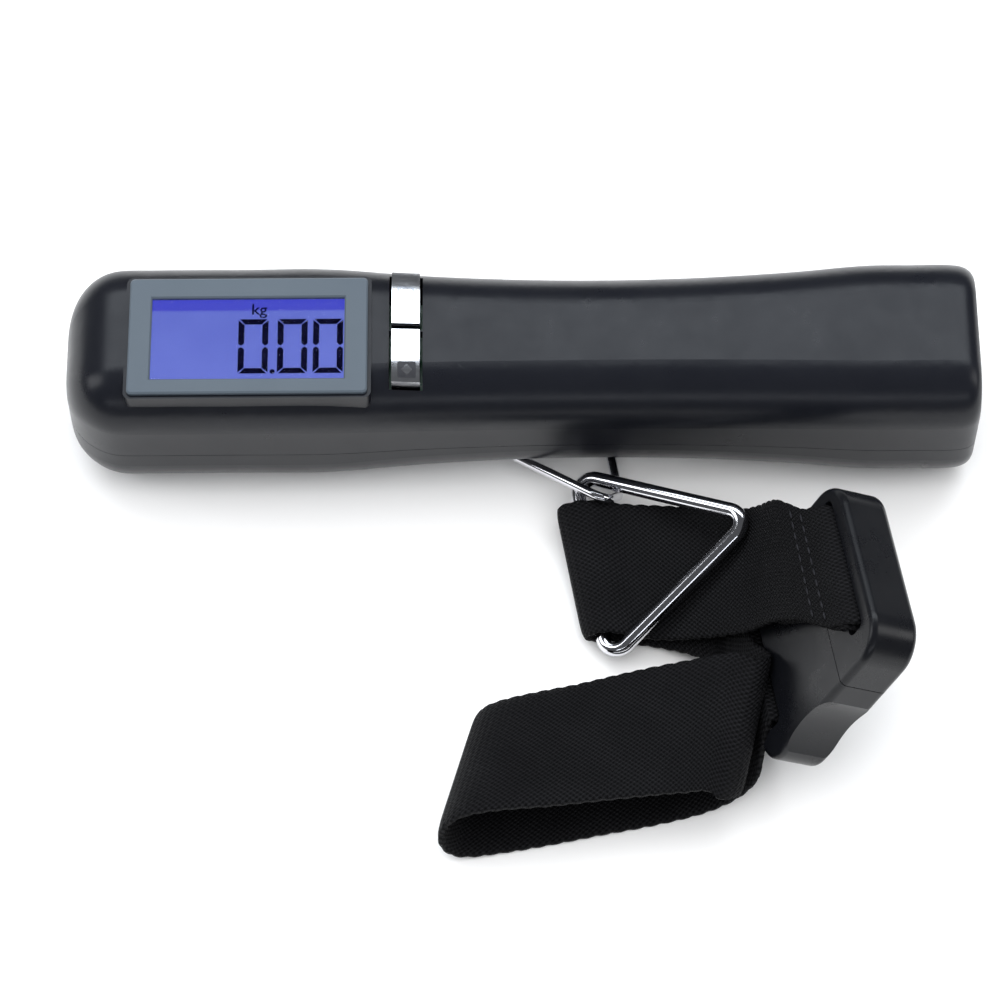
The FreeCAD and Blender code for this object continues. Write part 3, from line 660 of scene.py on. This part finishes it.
def strap_path():
    """Evenly spaced sections along the webbing, brought to one width, in millimetres."""
    fine = []
    for index in range(len(sections) - 1):
        for part in range(SPLINE_PARTS):
            share = part / SPLINE_PARTS
            far = spline_point([s[0] for s in sections], index, share)
            near = spline_point([s[1] for s in sections], index, share)
            fine.append((far, near))
    fine.append(sections[-1])
    middles = [(far + near) / 2 for far, near in fine]
    length = [0.0]
    for a, b in zip(middles, middles[1:]):
        length.append(length[-1] + (b - a).length)
    count = int(length[-1] / STRAP_STEP)
    placed = []
    at = 0
    for step in range(count + 1):
        target = length[-1] * step / count
        while at < len(length) - 2 and length[at + 1] < target:
            at += 1
        share = (target - length[at]) / max(length[at + 1] - length[at], 1e-9)
        far = fine[at][0].lerp(fine[at + 1][0], share)
        near = fine[at][1].lerp(fine[at + 1][1], share)
        middle = (far + near) / 2
        across = (near - far).normalized()
        placed.append((middle, across, target))
    return placed


def strap_mesh(path):
    """The webbing: rounded selvedges, ribs across it and a bump along each edge at every turn of the weft."""
    count = len(path)
    verts = []
    uvs = []
    ring = 2 * STRAP_COLUMNS
    for index, (middle, across, along) in enumerate(path):
        before = path[max(index - TANGENT_REACH, 0)][0]
        after = path[min(index + TANGENT_REACH, count - 1)][0]
        tangent = (after - before).normalized()
        normal = tangent.cross(across).normalized()
        bump = abs(math.sin(math.pi * along / SELVEDGE_PITCH))
        half_width = STRAP_WIDTH / 2 + SELVEDGE_DEPTH * (bump - 0.5)
        rib = RIB_DEPTH * math.cos(2 * math.pi * along / RIB_PITCH)
        for column in range(ring):
            top = column < STRAP_COLUMNS
            place = column if top else ring - 1 - column
            v = -math.cos(math.pi * (place + 0.5) / STRAP_COLUMNS)
            v = (1 - EVEN_SHARE) * v + EVEN_SHARE * (2 * (place + 0.5) / STRAP_COLUMNS - 1)
            fullness = 1 - EDGE_THINNING * abs(v) ** EDGE_SHARPNESS
            height = (STRAP_THICK / 2 * fullness + rib * fullness) * (1 if top else -1)
            point = middle + across * (v * half_width) + normal * height
            verts.append(point * MM)
            uvs.append((along * MM, v * half_width * MM))
    faces = []
    for index in range(count - 1):
        for column in range(ring):
            beside = (column + 1) % ring
            a = index * ring
            b = a + ring
            faces.append((a + column, a + beside, b + beside, b + column))
    faces.append(tuple(range(ring - 1, -1, -1)))
    faces.append(tuple((count - 1) * ring + column for column in range(ring)))
    mesh = mesh_of("webbing_strap", verts, faces, smooth=True)
    layer = mesh.uv_layers.new(name="weave")
    for loop in mesh.loops:
        layer.data[loop.index].uv = uvs[loop.vertex_index]
    return mesh


path = strap_path()
strap = piece("webbing_strap", strap_mesh(path), WEAVE, None)


def stitch(centre, across, tangent, normal):
    """The rings of one stitch, a flattened bead of thread lying across the webbing."""
    start, end = STITCH_ENDS
    points = []
    for ring in range(STITCH_RINGS + 1):
        share = ring / STITCH_RINGS
        swell = STITCH_RADIUS * math.sin(math.pi * (start + (end - start) * share))
        spot = centre + across * (STITCH_LENGTH * (share - 0.5)) + normal * (STRAP_THICK / 2 + STITCH_LIFT)
        for side in range(STITCH_SIDES):
            angle = 2 * math.pi * side / STITCH_SIDES
            rise = swell * STITCH_FLATNESS * math.sin(angle)
            points.append((spot + tangent * swell * math.cos(angle) + normal * rise) * MM)
    return points


def stitches(path, places, name):
    """Rows of stitches across the webbing, one row at each place along it."""
    verts = []
    faces = []
    for along_at in places:
        index = min(range(len(path)), key=lambda i: abs(path[i][2] - along_at))
        middle, across, _ = path[index]
        tangent = (path[index + 2][0] - path[index - 2][0]).normalized()
        normal = tangent.cross(across).normalized()
        for step in range(STITCHES_IN_ROW):
            base = len(verts)
            offset = (step - (STITCHES_IN_ROW - 1) / 2) * STITCH_PITCH
            verts += stitch(middle + across * offset, across, tangent, normal)
            for ring in range(STITCH_RINGS):
                here = base + ring * STITCH_SIDES
                there = here + STITCH_SIDES
                for side in range(STITCH_SIDES):
                    beside = (side + 1) % STITCH_SIDES
                    faces.append((here + side, here + beside, there + beside, there + side))
            last = base + STITCH_RINGS * STITCH_SIDES
            faces.append(tuple(base + side for side in range(STITCH_SIDES - 1, -1, -1)))
            faces.append(tuple(last + side for side in range(STITCH_SIDES)))
    return mesh_of(name, verts, faces, smooth=True)


WEBBING_NODES = ("webbing_upper_run", "webbing_link_fold", "webbing_under_run", "webbing_side_turn",
                 "webbing_loop_top", "webbing_loop_end", "webbing_loop_floor")
mouth_middle = (upper_mouth[0] + upper_mouth[1]) / 2
turn_at = next(along for middle, _, along in path if (middle - mouth_middle).length < 0.5 and along > 12)
rows = [turn_at + row for row in ROWS_AFTER_TURN]
seam = piece("strap_stitching", stitches(path, rows, "strap_stitching"), THREAD, None)
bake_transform(strap)
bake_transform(seam)
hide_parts(*WEBBING_NODES)


# ---------------------------------------------------------------- stage, light and camera


def stage_material():
    """A plain pale surface, a little uneven."""
    shader = Shader("pale_floor")
    shader.colour(shader.between(shader.noise(30.0, 3.0), (0.90, 0.90, 0.90), (0.93, 0.93, 0.93)))
    shader.roughness(shader.span(shader.noise(200.0, 3.0), 0.75, 0.9))
    return shader.material


FLOOR_HALF = 3.0
FLOOR_DROP = 0.00002
floor_z = cad_bounds[0][2] - FLOOR_DROP
corners = [(x * FLOOR_HALF, y * FLOOR_HALF, floor_z) for x, y in ((-1, -1), (1, -1), (1, 1), (-1, 1))]
floor = bpy.data.objects.new("floor", mesh_of("floor", corners, [(0, 1, 2, 3)]))
floor.data.materials.append(stage_material())
bpy.context.scene.collection.objects.link(floor)


def soft_light(name, place, aim, width, height, power, tint=(1, 1, 1), gloss=True):
    """A rectangular lamp that points at a place; without gloss it leaves no highlight."""
    data = bpy.data.lights.new(name, "AREA")
    data.shape = "RECTANGLE"
    data.size = width
    data.size_y = height
    data.energy = power
    data.color = tint
    lamp = bpy.data.objects.new(name, data)
    lamp.location = place
    lamp.visible_glossy = gloss
    lamp.rotation_euler = (Vector(aim) - Vector(place)).to_track_quat("-Z", "Y").to_euler()
    bpy.context.scene.collection.objects.link(lamp)


soft_light("fill_above", (0.0, 0.0, 1.3), (0.0, 0.0, 0.0), 2.4, 2.4, 42.0, gloss=False)
soft_light("top_box", (0.0, 0.62, 0.95), (0.0, 0.0, 0.01), 1.6, 0.34, 7.0, (0.88, 0.94, 1.0))
soft_light("front_box", (0.0, -0.95, 0.62), (0.0, 0.0, 0.01), 1.5, 0.10, 1.6, (0.90, 0.94, 1.0))
soft_light("left_side", (-0.80, 0.05, 0.50), (0.0, -0.02, 0.0), 0.3, 0.5, 1.6, (0.95, 0.97, 1.0))
soft_light("right_side", (0.80, -0.05, 0.50), (0.0, -0.02, 0.0), 0.3, 0.5, 1.2)

world = bpy.data.worlds.new("studio")
world.use_nodes = True
bpy.context.scene.world = world
background = world.node_tree.nodes["Background"]
background.inputs["Color"].default_value = (0.92, 0.95, 1.0, 1)
background.inputs["Strength"].default_value = 0.10

camera_data = bpy.data.cameras.new("camera")
camera_data.lens = CAMERA_LENS
camera_data.sensor_width = CAMERA_SENSOR
camera_data.clip_start = CAMERA_NEAREST
camera = bpy.data.objects.new("camera", camera_data)
camera.location = CAMERA_PLACE
turn = Matrix.Rotation(math.radians(CAMERA_TILT), 3, "X") @ Matrix.Rotation(math.radians(CAMERA_ROLL), 3, "Z")
camera.rotation_euler = turn.to_euler()
bpy.context.scene.collection.objects.link(camera)
bpy.context.scene.camera = camera
bpy.context.scene.view_settings.view_transform = "Standard"

bpy.context.view_layer.update()
